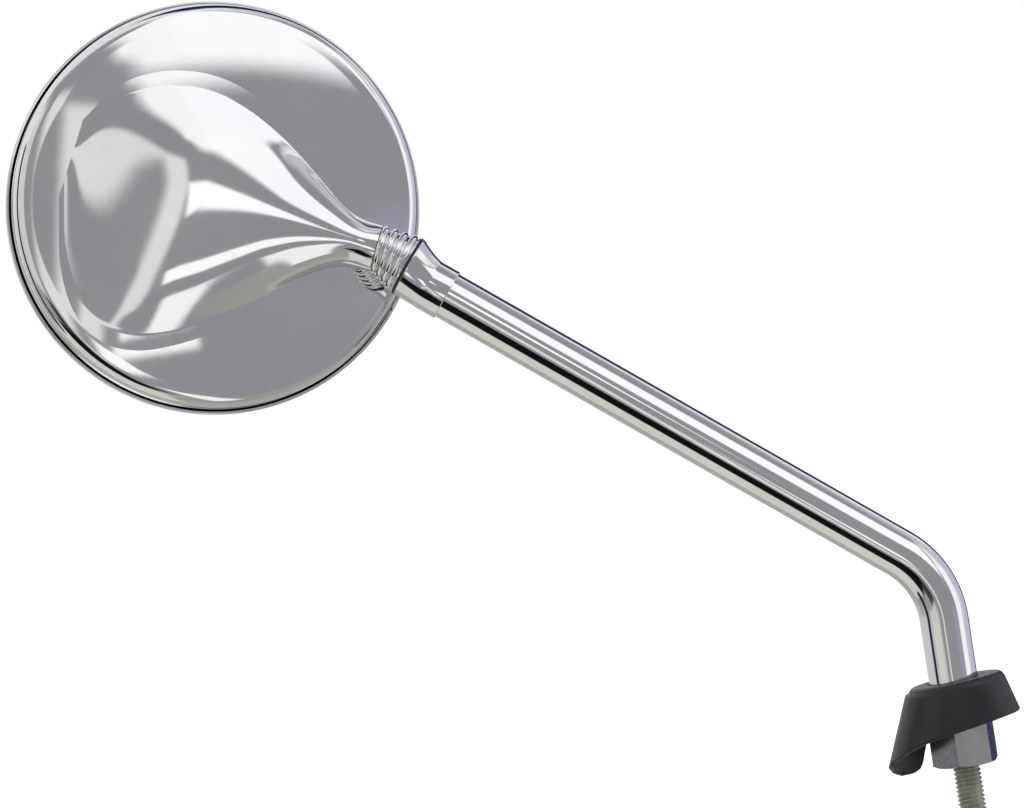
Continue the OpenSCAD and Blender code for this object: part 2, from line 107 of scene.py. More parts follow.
# Mesh makers: points come in millimetres, and the finished meshes are in metres
def build(name, rings, body=None, replaced=(), loop=False, caps=False, sharp=35.0):
    """A skin over rings of points, smooth but for edges sharper than the given angle."""
    mesh = bpy.data.meshes.new(name)
    bm = bmesh.new()
    rows = [[bm.verts.new(Vector(point) * MM) for point in ring] for ring in rings]
    pairs = list(zip(rows, rows[1:])) + ([(rows[-1], rows[0])] if loop else [])
    for low, high in pairs:
        for k in range(len(low)):
            after = (k + 1) % len(low)
            bm.faces.new((low[k], low[after], high[after], high[k]))
    if caps:
        bm.faces.new(list(reversed(rows[0])))
        bm.faces.new(rows[-1])
    bmesh.ops.remove_doubles(bm, verts=bm.verts, dist=MERGE)
    bmesh.ops.dissolve_degenerate(bm, edges=bm.edges, dist=MERGE)
    bmesh.ops.recalc_face_normals(bm, faces=bm.faces)
    for face in bm.faces:
        face.smooth = True
    for edge in bm.edges:
        if len(edge.link_faces) == 2 and edge.calc_face_angle(0) > rad(sharp):
            edge.smooth = False
    bm.to_mesh(mesh)
    bm.free()
    piece = bpy.data.objects.new(name, mesh)
    bpy.context.scene.collection.objects.link(piece)
    if body:
        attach(piece, body)
    if replaced:
        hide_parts(*replaced)
    return piece


def ring_points(place, r, z, steps):
    angles = [2 * math.pi * k / steps for k in range(steps)]
    return [place @ Vector((r * math.cos(a), r * math.sin(a), z)) for a in angles]


def lathe(name, profile, place, body=None, replaced=(), steps=192):
    """Turns a closed profile of (radius, height) points about the place's own Z axis."""
    rings = [ring_points(place, max(r, AXIS_R), z, steps) for r, z in profile]
    return build(name, rings, body, replaced, loop=True)


def join(first, *others):
    """Puts the meshes of other pieces into the first one."""
    bm = bmesh.new()
    for piece in (first,) + others:
        bm.from_mesh(piece.data)
    bm.to_mesh(first.data)
    bm.free()
    for piece in others:
        bpy.data.objects.remove(piece)
    return first


# Head: the dish of the pressed shell
SIDE_H = 10.5
SHOULDER_R = 4.5
DOME_RISE = 6.5
DISH_SIDES = 288
dome_edge_r = SHELL_R - SIDE_TAPER - SHOULDER_R
dome_edge_z = SIDE_H + SHOULDER_R
dome_curve = (dome_edge_r ** 2 + DOME_RISE ** 2) / (2 * DOME_RISE)
crown_z = dome_edge_z + DOME_RISE


def dome_z(r, inset=0.0):
    return crown_z - dome_curve + math.sqrt((dome_curve - inset) ** 2 - r * r)


def dish_profile():
    """From the crown over the shoulder to the open edge, and back up the inside."""
    tilt = math.degrees(math.asin(dome_edge_r / dome_curve))
    outer = [(r, dome_z(r)) for r in [dome_edge_r * i / 70 for i in range(70)]]
    outer += arc(dome_edge_r, SIDE_H, SHOULDER_R, 90 - tilt, 0, 24)
    outer += line((SHELL_R - SIDE_TAPER, SIDE_H - 0.4), (SHELL_R, 0), 6)
    inner = [(SHELL_R - SHELL_WALL, 0)]
    inner += arc(dome_edge_r, SIDE_H, SHOULDER_R - SHELL_WALL, 0, 90 - tilt, 12)
    inner += [(r, dome_z(r, SHELL_WALL)) for r in [dome_edge_r * (1 - i / 20) for i in range(21)]]
    return outer + inner


# Fairing: half widths above and below the neck's line, by the distance from the neck's end
UPPER = [(0, 6.75), (5, 7.0), (10, 8.4), (15, 10.9), (21, 14.4), (28, 18.6), (36, 22.8), (46, 26.6),
         (56, 28.4), (66, 27.4), (76, 23.4), (84, 16.5), (90, 5.0)]
LOWER = [(0, 6.75), (5, 7.1), (10, 8.8), (15, 12.0), (21, 17.0), (28, 24.0), (36, 31.0), (46, 38.2),
         (56, 43.0), (66, 43.6), (76, 38.0), (84, 26.0), (90, 8.0)]
FAIRING_SIDES = 256
FAIRING_STATIONS = 170
FAIRING_END = 90.0
# The ridge falls slowly from the neck, and faster at the tail
TOP_FALL = 0.05
TOP_FALL_RUN = 6.0
TOP_CURVE = 0.00078
TAIL_FALL = 2.2
TAIL_AT = 52.0
TAIL_RUN = 34.0
# The round neck sinks into the dish over SINK_RUN, and its sides spread into fillets after SPREAD_AT
SINK_RUN = 14.0
SPREAD_AT = 10.0
SPREAD_RUN = 22.0
ROUND_POWER = 0.5
FLATTER_POWER = 0.42
MARGIN = 5.0
FILLET = 2.4
ROOT_SINK = 0.9
SIDE_SINK = 0.03
KEEL = 2.5
neck_flat = math.cos(rad(neck_rise))
neck_turn = math.atan2(math.sin(rad(neck_rise)), neck_flat * math.cos(rad(HEAD_TURN)))
neck_lean = math.asin(neck_flat * math.sin(rad(HEAD_TURN)))
neck_end = head_frame.inverted() @ neck_frame @ Vector((0, 0, 0))
fairing_frame = shift(neck_end.x, neck_end.y, 0) @ Matrix.Rotation(math.pi - neck_turn, 4, "Z")


def curve_at(points, a):
    """The height at a of a smooth curve through the points."""
    i = 0
    while i < len(points) - 2 and a > points[i + 1][0]:
        i += 1
    (x0, y0), (x1, y1) = points[i], points[i + 1]
    before, after = points[max(0, i - 1)], points[min(len(points) - 1, i + 2)]
    slope_0 = (y1 - before[1]) / (x1 - before[0])
    slope_1 = (after[1] - y0) / (after[0] - x0)
    h, t = x1 - x0, (a - x0) / (x1 - x0)
    return ((2 * t ** 3 - 3 * t ** 2 + 1) * y0 + (t ** 3 - 2 * t ** 2 + t) * h * slope_0
            + (3 * t ** 2 - 2 * t ** 3) * y1 + (t ** 3 - t ** 2) * h * slope_1)


def soft_max(p, q, k):
    """The larger of two heights, with a fillet of height k where they meet."""
    return max(p, q) + max(0.0, k - abs(p - q)) ** 2 / (4 * k)


def fairing_section(a):
    """One closed section: over the top from side to side, and back underneath, hidden in the dish."""
    fade = ease(a / SINK_RUN)
    spread = ease((a - SPREAD_AT) / SPREAD_RUN)
    axis_z = neck_end.z - math.tan(neck_lean) * a
    tail = TAIL_FALL * ease((a - TAIL_AT) / TAIL_RUN)
    top = neck_end.z + NECK_R - TOP_FALL * a * ease(a / TOP_FALL_RUN) - TOP_CURVE * a * a - tail
    points = []
    for i in range(FAIRING_SIDES):
        t = 2 * math.pi * i / FAIRING_SIDES
        half = curve_at(UPPER if math.cos(t) < 0 else LOWER, a)
        side = math.cos(t) * (half + MARGIN * spread)
        spot = fairing_frame @ Vector((a, side, 0))
        dish = dome_z(min(dome_edge_r, math.hypot(spot.x, spot.y)))
        mid = axis_z + (dish - ROOT_SINK * spread - axis_z) * fade
        if math.sin(t) < 0:
            z = mid + (NECK_R + (KEEL - NECK_R) * fade) * math.sin(t)
        elif spread > 0:
            u = min(1.0, abs(side) / half)
            rise = mid + (top - mid) * (1 - u * u) ** (ROUND_POWER + FLATTER_POWER * spread)
            z = soft_max(rise, dish, FILLET * spread) - SIDE_SINK * max(0.0, abs(side) - half)
        else:
            z = mid + (top - mid) * math.sin(t)
        lean = (z - mid) * math.tan(neck_lean) * (1 - fade)
        points.append(head_frame @ fairing_frame @ Vector((a + lean, side, z)))
    return points


shell = lathe("shell", dish_profile(), head_frame, "head", steps=DISH_SIDES)
stations = [FAIRING_END * (i / FAIRING_STATIONS) ** 1.15 for i in range(FAIRING_STATIONS + 1)]
fairing = build("fairing", [fairing_section(a) for a in stations], "head", caps=True, sharp=60)
shell = join(shell, fairing)
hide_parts("mirror_shell")

# Glass with its rubber seal, and the rim that holds them
GLASS_R = 56.3
GLASS_T = 3.0
GLASS_CURVE = 1200.0
GLASS_FACE = -0.9
GLASS_BEVEL = 0.3
SEAL_WALL = 0.8
SEAL_GAP = 0.1
SEAL_LIP = 2.2
SEAL_ROUND = 0.4
SEAL_FIT = 0.35
BEZEL_R = SHELL_R + 0.85
BEZEL_FIT = 0.05
BEZEL_WALL = 0.8
BEZEL_LOW = -2.7
BEZEL_SIDE = 3.5
BEZEL_ROUND = 1.1
BEZEL_LIP_ROUND = 0.5
BEZEL_EDGE_ROUND = 0.4


def bezel_profile():
    lip = GLASS_R - SEAL_LIP + 0.6
    outer = arc(lip + BEZEL_LIP_ROUND, BEZEL_LOW + BEZEL_LIP_ROUND, BEZEL_LIP_ROUND, 200, 270, 5)
    outer += arc(BEZEL_R - BEZEL_ROUND, BEZEL_LOW + BEZEL_ROUND, BEZEL_ROUND, 270, 360, 12)
    outer += arc(BEZEL_R - BEZEL_EDGE_ROUND, BEZEL_SIDE - BEZEL_EDGE_ROUND, BEZEL_EDGE_ROUND, 0, 90, 6)
    inner = SHELL_R + BEZEL_FIT
    return outer + [(inner, BEZEL_SIDE), (inner, BEZEL_LOW + BEZEL_WALL), (lip, BEZEL_LOW + BEZEL_WALL)]


def glass_profile():
    sag = GLASS_CURVE - math.sqrt(GLASS_CURVE ** 2 - GLASS_R ** 2)

    def curve(r):
        return GLASS_FACE - sag + GLASS_CURVE - math.sqrt(GLASS_CURVE ** 2 - r * r)

    radii = [GLASS_R * i / 40 for i in range(40)]
    edge = curve(GLASS_R)
    rim = [(GLASS_R - GLASS_BEVEL, edge), (GLASS_R, edge + GLASS_BEVEL), (GLASS_R, edge + GLASS_T)]
    return [(r, curve(r)) for r in radii] + rim + [(r, curve(r) + GLASS_T) for r in reversed(radii)]


def seal_profile():
    """A channel round the glass's edge, with its lips towards the axis."""
    low = GLASS_FACE - SEAL_GAP - SEAL_WALL
    high = GLASS_FACE + GLASS_T + SEAL_GAP + SEAL_WALL
    inner = GLASS_R - SEAL_LIP
    out = SHELL_R - SHELL_WALL - SIDE_TAPER / 2 - SEAL_FIT
    corner = arc(inner + SEAL_ROUND, low + SEAL_ROUND, SEAL_ROUND, 180, 270, 5)
    return corner + [(out, low), (out, high), (inner, high), (inner, high - SEAL_WALL),
                     (GLASS_R + SEAL_GAP, high - SEAL_WALL), (GLASS_R + SEAL_GAP, low + SEAL_WALL),
                     (inner, low + SEAL_WALL)]


bezel = lathe("bezel", bezel_profile(), head_frame, "head", ("rim_bezel",), steps=DISH_SIDES)
glass = lathe("glass", glass_profile(), head_frame, "head", ("mirror_glass",))
seal = lathe("glass_seal", seal_profile(), head_frame, "head", ("rim_seal",))

# Collar: four rounded rings that fan from the stem's line to the neck's, on a core with a round nose
NOSE_R = 9.5
RING_COUNT = 4
RING_FRONT_R = 8.9
RING_BACK_R = 7.3
RING_HALF = 1.15
RING_DEPTH = 3.0
GROOVE = 0.8
CORE_IN_R = 5.8
ROUND_SIDES = 160
first_t = -NOSE_R * math.cos(math.asin(RING_FRONT_R / NOSE_R)) + RING_HALF + 0.1
last_t = COLLAR_BACK - RING_HALF


def collar_rings():
    for i in range(RING_COUNT):
        f = i / (RING_COUNT - 1)
        r = RING_FRONT_R + (RING_BACK_R - RING_FRONT_R) * f
        place = joint_frame @ shift(0, 0, first_t + (last_t - first_t) * f) @ turn(-COLLAR_BEND * f, "Y")
        rim = arc(r - RING_HALF, 0, RING_HALF, -90, 90, 20)
        profile = [(r - RING_DEPTH, -RING_HALF)] + rim + [(r - RING_DEPTH, RING_HALF)]
        yield lathe(f"ring_{i}", profile, place, steps=ROUND_SIDES)


core_profile = [(CORE_IN_R, first_t), (RING_FRONT_R - GROOVE, first_t), (RING_BACK_R - GROOVE, last_t),
                (CORE_IN_R, last_t)]
nose_profile = [(NOSE_R * math.sin(rad(a)), -NOSE_R * math.cos(rad(a))) for a in range(36, 70, 2)]
nose_profile += [(8.2, first_t - 1), (8.2, first_t), (5.9, first_t), (5.0, -6.6)]
collar = lathe("collar", core_profile, joint_frame, steps=ROUND_SIDES)
nose = lathe("nose", nose_profile, joint_frame, steps=ROUND_SIDES)
collar = join(collar, nose, *collar_rings())
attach(collar, "head")
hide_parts("neck_collar")

# Ferrule: a sleeve on the tube that flares to one side, with a round hollow for the collar's nose
FERRULE_RUN = 18.3
SLEEVE_LEN = 6.0
SLEEVE_R = 7.55
SLEEVE_ROUND = 0.25
FLARE_STEPS = 24
MOUTH_R = 9.0
MOUTH_ROUND = 0.2
HOLLOW_R = 9.95
mouth_t = math.sqrt(HOLLOW_R ** 2 - MOUTH_R ** 2) + 0.35
flare_at = FERRULE_RUN - SLEEVE_LEN


def ferrule_rings():
    rings = [(stem_frame, TUBE_R - 0.3, -FERRULE_RUN)]
    sleeve_end = arc(SLEEVE_R - SLEEVE_ROUND, -FERRULE_RUN + SLEEVE_ROUND, SLEEVE_ROUND, 270, 360, 4)
    rings += [(stem_frame, r, t) for r, t in sleeve_end[1:]]
    for i in range(FLARE_STEPS + 1):
        f = i / FLARE_STEPS
        r = SLEEVE_R + (MOUTH_R - SLEEVE_R) * f ** 1.5
        t = -flare_at + (flare_at - mouth_t - MOUTH_ROUND) * f
        rings.append((stem_frame @ shift(BALL_OFFSET * f ** 1.3, 0, 0), r, t))
    mouth = arc(MOUTH_R - MOUTH_ROUND, -mouth_t - MOUTH_ROUND, MOUTH_ROUND, 0, 90, 4)
    rings += [(joint_frame, r, t) for r, t in mouth[1:]]
    for a in range(64, 18, -3):
        rings.append((joint_frame, HOLLOW_R * math.sin(rad(a)) * 0.995, -HOLLOW_R * math.cos(rad(a))))
    return [ring_points(place, r, t, ROUND_SIDES) for place, r, t in rings]


ferrule = build("ferrule", ferrule_rings(), "stem", ("stem_ferrule",), sharp=50)

# Stem: an upright end, a bend, and the long straight run to the ferrule
TUBE_LOW = 18.0
LOW_STEPS = 12
BEND_STEPS = 60
RUN_STEPS = 60


def tube_rings():
    tangent = BEND_R * math.tan(rad(BEND_ANGLE / 2))
    bend_low = BEND_HEIGHT - tangent
    rings = [(upright, TUBE_LOW + (bend_low - TUBE_LOW) * i / LOW_STEPS) for i in range(LOW_STEPS)]
    for i in range(BEND_STEPS + 1):
        place = shift(-BEND_R, 0, bend_low) @ turn(-BEND_ANGLE * i / BEND_STEPS, "Y") @ shift(BEND_R, 0, 0)
        rings.append((place, 0))
    start = -BALL_RUN + tangent
    run = -flare_at - 0.1 - start
    rings += [(stem_frame, start + run * i / RUN_STEPS) for i in range(1, RUN_STEPS + 1)]
    return [ring_points(place, TUBE_R, t, ROUND_SIDES) for place, t in rings]


tube = build("tube", tube_rings(), "stem", ("stem_tube",), caps=True, sharp=50)

# Stud: a cut thread up to the foot of the stem, and a plain top inside it
STUD_R = 4.0
STUD_OUT = 22.0
STUD_TOP = 30.0
STUD_SIDES = 72
PITCH = 1.25
THREAD_DEPTH = 0.65
THREAD_ROWS = 10
THREAD_END = 1.0
TIP_SCALE = 0.86
TIP_RUN = 1.1


def thread_r(z, around):
    """The thread's radius at a height, and at a part of the way round."""
    phase = (z / PITCH - around) % 1.0
    tooth = min(1.0, max(0.0, abs(2 * phase - 1) * 1.25 - 0.12))
    tip = ease((z + STUD_OUT) / TIP_RUN)
    return (STUD_R - THREAD_DEPTH * tooth) * (TIP_SCALE + (1 - TIP_SCALE) * tip)


def stud_rings():
    length = STUD_OUT + THREAD_END
    rows = int(length / PITCH * THREAD_ROWS)
    rings = [ring_points(upright, AXIS_R, -STUD_OUT, STUD_SIDES)]
    for i in range(rows + 1):
        z = -STUD_OUT + length * i / rows
        ring = []
        for k in range(STUD_SIDES):
            r, angle = thread_r(z, k / STUD_SIDES), 2 * math.pi * k / STUD_SIDES
            ring.append(Vector((r * math.cos(angle), r * math.sin(angle), z)))
        rings.append(ring)
    for r, z in ((STUD_R - 0.6, 1.3), (STUD_R, 2), (STUD_R, STUD_TOP), (AXIS_R, STUD_TOP)):
        rings.append(ring_points(upright, r, z, STUD_SIDES))
    return rings


stud = build("stud", stud_rings(), "stem", ("mounting_stud",), sharp=50)

# Nut: a hexagon with rounded corners at both ends and a chamfered bore
NUT_FLATS = 17.0
NUT_H = 13.0
NUT_TURN = 12.0
NUT_SIDE_STEPS = 24
NUT_CHAMFER_R = 8.35
NUT_CHAMFER_SLOPE = 0.58
NUT_BORE = 4.05
NUT_LEAD = 0.6


def nut_rings():
    angles = [NUT_TURN + 60 * k / NUT_SIDE_STEPS for k in range(6 * NUT_SIDE_STEPS)]
    hexagon = [NUT_FLATS / 2 / math.cos(rad((a - NUT_TURN) % 60 - 30)) for a in angles]
    edge = [max(0.0, r - NUT_CHAMFER_R) * NUT_CHAMFER_SLOPE for r in hexagon]

    def ring(radii, heights):
        return [Vector((r * math.cos(rad(a)), r * math.sin(rad(a)), z))
                for a, r, z in zip(angles, radii, heights)]

    def circle(r, z):
        return ring([r] * len(angles), [z] * len(angles))

    return [circle(NUT_BORE, NUT_LEAD), circle(NUT_BORE + NUT_LEAD, 0), circle(NUT_CHAMFER_R - 0.2, 0),
            circle(NUT_CHAMFER_R, 0.02), ring(hexagon, edge), ring(hexagon, [NUT_H - z for z in edge]),
            circle(NUT_CHAMFER_R, NUT_H), circle(NUT_BORE, NUT_H)]


nut = build("nut", nut_rings(), "lock_nut", ("lock_nut",), loop=True, sharp=24)

# Boot: a hood that widens downwards, with a curved lower edge and a tongue on its rear left side
BOOT_TOP = 24.4
BOOT_SLOPE = 3.9
BOOT_LOW = -3.0
BOOT_ROOF = 3.0
BOOT_WALL = 2.0
BOOT_ENDS_TOP = (-13.2, 14.5)
BOOT_ENDS_LOW = (-24.0, 22.4)
BOOT_HALF_TOP = 12.5
BOOT_HALF_LOW = 14.5
BOOT_ROUND = 1.8
BOOT_LIP = 0.55
BOOT_SIDES = 240
OUTER_ROWS = 26
INNER_ROWS = 14
FRONT_EDGE = [(30, 15.5), (18.0, 13.2), (12.9, 12.8), (5.3, 11.7), (-0.7, 10.7), (-7.8, 9.4), (-12, 8.4),
              (-17.6, 6.1), (-21.5, 3.4), (-26, 1.0)]
REAR_EDGE = [(30, 15.5), (18.0, 13.2), (12.9, 12.8), (5.3, 11.7), (-0.7, 10.3), (-7.5, 8.6), (-9.6, 7.2),
             (-10.7, 4.4), (-11.4, 1.4), (-12.8, -0.9), (-15, -1.8), (-18.6, -1.8), (-20.8, -0.6),
             (-22.4, 1.8), (-26, 3.0)]


def edge_height(points, x):
    for (x1, z1), (x0, z0) in zip(points, points[1:]):
        if x >= x0:
            return z0 + (z1 - z0) * (x - x0) / (x1 - x0)
    return points[-1][1]


def boot_outline(f, z, inset):
    """The point at part f of the way round the hood, at height z."""
    u = (BOOT_TOP - z) / (BOOT_TOP - BOOT_LOW)
    left = BOOT_ENDS_TOP[0] + (BOOT_ENDS_LOW[0] - BOOT_ENDS_TOP[0]) * u + inset
    right = BOOT_ENDS_TOP[1] + (BOOT_ENDS_LOW[1] - BOOT_ENDS_TOP[1]) * u - inset
    half = BOOT_HALF_TOP + (BOOT_HALF_LOW - BOOT_HALF_TOP) * u - inset
    angle = 2 * math.pi * f
    centre = right - half if math.cos(angle) >= 0 else left + half
    middle = (left + right) / 2
    x = middle + (centre - middle) * abs(math.cos(angle)) ** 0.6 + half * math.cos(angle)
    return x, half * math.sin(angle)


def boot_edge(f):
    """The height of the hood's lower edge there, found by stepping towards it."""
    z = 5.0
    for _ in range(12):
        x, y = boot_outline(f, z, 0.0)
        rear = ease(y / 5.0 + 0.5)
        target = edge_height(FRONT_EDGE, x) * (1 - rear) + edge_height(REAR_EDGE, x) * rear
        z += (target - z) * 0.6
    return z


def boot_top_z(x):
    return BOOT_TOP + math.tan(rad(BOOT_SLOPE)) * x


def boot_rings():
    """From the lower edge up the outside, over the roof to the tube, and down the inside."""
    around = [k / BOOT_SIDES for k in range(BOOT_SIDES)]
    low = [boot_edge(f) + BOOT_LIP for f in around]

    def wall_row(inset, top_inset=0.0, g=0.0, drop=0.0):
        ring = []
        for f, low_z in zip(around, low):
            top_x = boot_outline(f, BOOT_TOP, inset)[0]
            z = low_z + (boot_top_z(top_x) - top_inset - low_z) * g
            ring.append((*boot_outline(f, z, inset), z - drop))
        return ring

    rows = [wall_row(0.3, drop=BOOT_LIP * 0.7)]
    rows += [wall_row(0.0, BOOT_ROUND, j / OUTER_ROWS) for j in range(OUTER_ROWS + 1)]
    for a in range(15, 91, 15):
        spots = [boot_outline(f, BOOT_TOP, BOOT_ROUND * (1 - math.cos(rad(a)))) for f in around]
        rise = BOOT_ROUND * math.sin(rad(a)) - BOOT_ROUND
        rows.append([(x, y, boot_top_z(x) + rise) for x, y in spots])
    for gap, rise in ((1.2, 0.0), (0.6, -0.1), (0.1, -0.5), (0.1, -BOOT_ROOF)):
        spots = ring_points(upright, TUBE_R + gap, 0, BOOT_SIDES)
        rows.append([(spot.x, spot.y, boot_top_z(spot.x) + rise) for spot in spots])
    rows += [wall_row(BOOT_WALL, BOOT_ROOF, j / INNER_ROWS) for j in range(INNER_ROWS, -1, -1)]
    rows.append(wall_row(BOOT_WALL - 0.3, drop=BOOT_LIP * 0.7))
    rows.append(wall_row(BOOT_WALL / 2, drop=BOOT_LIP))
    return rows


boot = build("boot", boot_rings(), "boot", ("rubber_boot",), loop=True, sharp=55)


# Materials
class Nodes:
    """A short way to write a node tree."""

    def __init__(self, tree):
        self.tree = tree
        tree.nodes.clear()

    def add(self, kind, inputs=None, **settings):
        node = self.tree.nodes.new(kind)
        for key, value in settings.items():
            setattr(node, key, value)
        for key, value in (inputs or {}).items():
            if isinstance(value, bpy.types.NodeSocket):
                self.tree.links.new(value, node.inputs[key])
            else:
                node.inputs[key].default_value = value
        return node

    def math(self, operation, *values):
        return self.add("ShaderNodeMath", dict(enumerate(values)), operation=operation).outputs[0]

    def mix(self, factor, first, second):
        """The first colour where the factor is 0, and the second where it is 1."""
        node = self.add("ShaderNodeMix", data_type="RGBA")
        self.tree.links.new(factor, node.inputs["Factor"])
        self.tree.links.new(first, node.inputs["A"])
        node.inputs["B"].default_value = (*second, 1)
        return node.outputs["Result"]

    def ramp(self, factor, stops):
        node = self.add("ShaderNodeValToRGB", {"Fac": factor})
        elements = node.color_ramp.elements
        while len(elements) < len(stops):
            elements.new(0.5)
        for element, (position, colour) in zip(elements, stops):
            element.position = position
            element.color = (*colour, 1)
        return node.outputs["Color"]

    def spread(self, factor, low, high):
        """Turns the middle range of a noise into values from low to high."""
        limits = {"Value": factor, "From Min": 0.3, "From Max": 0.7, "To Min": low, "To Max": high}
        return self.add("ShaderNodeMapRange", limits).outputs["Result"]

    def noise(self, place, scale, detail=4.0, rough=0.55):
        inputs = {"Vector": place, "Scale": scale, "Detail": detail, "Roughness": rough}
        return self.add("ShaderNodeTexNoise", inputs).outputs["Fac"]


def material(name, metallic, colours, scale, roughness, bump, bump_scale, bump_depth=0.00002, coat=0.0):
    """A finish whose colour, roughness and fine relief all vary over the surface."""
    made = bpy.data.materials.new(name)
    made.use_nodes = True
    nodes = Nodes(made.node_tree)
    place = nodes.add("ShaderNodeTexCoord").outputs["Object"]
    broad = nodes.noise(place, scale)
    fine = nodes.noise(place, scale * 9, 6.0, 0.6)
    relief = nodes.noise(place, bump_scale, 5.0, 0.65)
    bumps = nodes.add("ShaderNodeBump", {"Height": relief, "Strength": bump, "Distance": bump_depth})
    shader = nodes.add("ShaderNodeBsdfPrincipled", {
        "Base Color": nodes.ramp(broad, [(0.3, colours[0]), (0.7, colours[1])]),
        "Roughness": nodes.spread(fine, *roughness), "Normal": bumps.outputs["Normal"]})
    shader.inputs["Metallic"].default_value = metallic
    shader.inputs["Coat Weight"].default_value = coat
    nodes.add("ShaderNodeOutputMaterial", {"Surface": shader.outputs["BSDF"]})
    return made


chrome = material("chrome", 1.0, ((0.70, 0.71, 0.73), (0.76, 0.77, 0.78)), 30, (0.035, 0.075), 0.05, 900)
bright = material("bright_chrome", 1.0, ((0.68, 0.69, 0.71), (0.76, 0.77, 0.78)), 60, (0.04, 0.09), 0.05, 1200)
steel = material("steel", 1.0, ((0.42, 0.42, 0.41), (0.52, 0.51, 0.48)), 120, (0.28, 0.42), 0.3, 2500)
zinc = material("zinc", 1.0, ((0.40, 0.41, 0.38), (0.56, 0.55, 0.46)), 220, (0.3, 0.48), 0.4, 2500)
plated = material("plated_nut", 1.0, ((0.52, 0.52, 0.53), (0.62, 0.62, 0.62)), 150, (0.12, 0.26), 0.15, 1800)
rubber = material("rubber", 0.0, ((0.006, 0.007, 0.010), (0.013, 0.014, 0.019)), 90, (0.34, 0.5), 0.35, 1600)
seal_rubber = material("seal_rubber", 0.0, ((0.012, 0.012, 0.013), (0.022, 0.022, 0.023)), 90, (0.5, 0.65),
                       0.3, 1600)
silver = material("silvered_glass", 1.0, ((0.80, 0.83, 0.84), (0.83, 0.85, 0.86)), 12, (0.012, 0.03),
                  0.01, 300, coat=1.0)
nylon = material("nylon", 0.0, ((0.80, 0.77, 0.68), (0.87, 0.85, 0.78)), 150, (0.35, 0.5), 0.2, 1500)
board = material("fibre_board", 0.0, ((0.16, 0.11, 0.07), (0.26, 0.18, 0.12)), 260, (0.7, 0.85), 0.5, 2400)
foam = material("foam", 0.0, ((0.05, 0.05, 0.052), (0.12, 0.12, 0.125)), 700, (0.85, 0.95), 0.8, 1500, 0.0002)

FINISHES = ((shell, chrome, "shell"), (bezel, bright, "bezel"), (glass, silver, "mirror"),
            (seal, seal_rubber, "seal"), (collar, bright, "collar"), (ferrule, bright, "collar"),
            (tube, chrome, "tube"), (stud, zinc, "stud"), (nut, plated, "nut"), (boot, rubber, "boot"))
for piece, finish, slot in FINISHES:
    piece.data.materials.clear()
    piece.data.materials.append(finish)

CAD_FINISHES = {"backing_board": board, "foam_pad": foam, "front_liner": nylon, "rear_liner": nylon,
                "pressure_cup": steel, "joint_spring": steel, "spring_stop": steel, "ball_stud": steel,
                "wiper_ring": seal_rubber, "stem_foot": steel, "spring_washer": steel}
for node, finish in CAD_FINISHES.items():
    for material_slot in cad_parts[node].material_slots:
        material_slot.material = finish

# Camera: the photograph's angle, with the nut's place in the image and the scale at the stem known
IMAGE_W = 1024
IMAGE_H = 808
NUT_PX = Vector((966, 764))
PX_PER_MM = 3.5
ROLL = 8.6
DISTANCE = 1.0
SENSOR = 36.0
right = Vector((math.cos(rad(ROLL)), 0, -math.sin(rad(ROLL))))
up = Vector((math.sin(rad(ROLL)), 0, math.cos(rad(ROLL))))
back = Vector((0, -1, 0))
middle = Vector((IMAGE_W / 2, IMAGE_H / 2)) - NUT_PX
aim = (right * middle.x - up * middle.y) * MM / PX_PER_MM
camera_data = bpy.data.cameras.new("camera")
camera_data.sensor_width = SENSOR
camera_data.lens = SENSOR * DISTANCE / (IMAGE_W * MM / PX_PER_MM)
camera = bpy.data.objects.new("camera", camera_data)
bpy.context.scene.collection.objects.link(camera)
camera.matrix_world = Matrix.Translation(aim + back * DISTANCE) @ Matrix((right, up, back)).transposed().to_4x4()
bpy.context.scene.camera = camera
bpy.context.scene.view_settings.view_transform = "Standard"

# Surroundings: a plain studio of soft panels by direction, for the chrome to reflect. The camera sees white.
PANELS = [
    # azimuth, elevation, half width, half height, colour, softness, roll
    (0, -62, 60, 26, (0.42, 0.41, 0.38), 0.12, 0),
    (60, 42, 34, 16, (1.1, 1.1, 1.1), 0.04, 0),
    (72, 46, 5, 10, (0.05, 0.05, 0.06), 0.04, -30),
    (105, 42, 12, 30, (0.7, 0.7, 0.72), 0.04, 0),
    (130, 0, 20, 24, (0.62, 0.62, 0.80), 0.05, 0),
    (152, 32, 10, 60, (0.02, 0.03, 0.10), 0.03, 0),
    (18, 6, 40, 48, (0.36, 0.36, 0.37), 0.12, 0),
    (38, 38, 22, 13, (1.3, 1.3, 1.3), 0.08, -20),
    (78, 0, 12, 22, (1.2, 1.2, 1.2), 0.05, 0),
    (52, -16, 8, 12, (0.42, 0.40, 0.52), 0.12, 0),
    (-9, -2, 1.5, 24, (0.95, 0.94, 0.90), 0.04, -10),
    (4, 11, 6, 3, (1.35, 1.35, 1.35), 0.03, 0),
    (12, 47, 3, 17, (1.25, 1.25, 1.24), 0.05, -14),
    (2, -15, 6, 3, (1.3, 1.3, 1.28), 0.03, 0),
    (4, -50, 3, 19, (1.2, 1.19, 1.15), 0.05, 6),
    (-34, -25, 9, 11, (0.07, 0.06, 0.052), 0.04, 0),
    (-46, -40, 20, 14, (0.008, 0.008, 0.01), 0.05, 0),
    (-88, -50, 20, 20, (0.80, 0.78, 0.70), 0.08, 0),
    (-50, 12, 14, 22, (0.80, 0.78, 0.71), 0.08, 0),
    (-84, 0, 6, 30, (0.02, 0.025, 0.06), 0.04, 0),
]


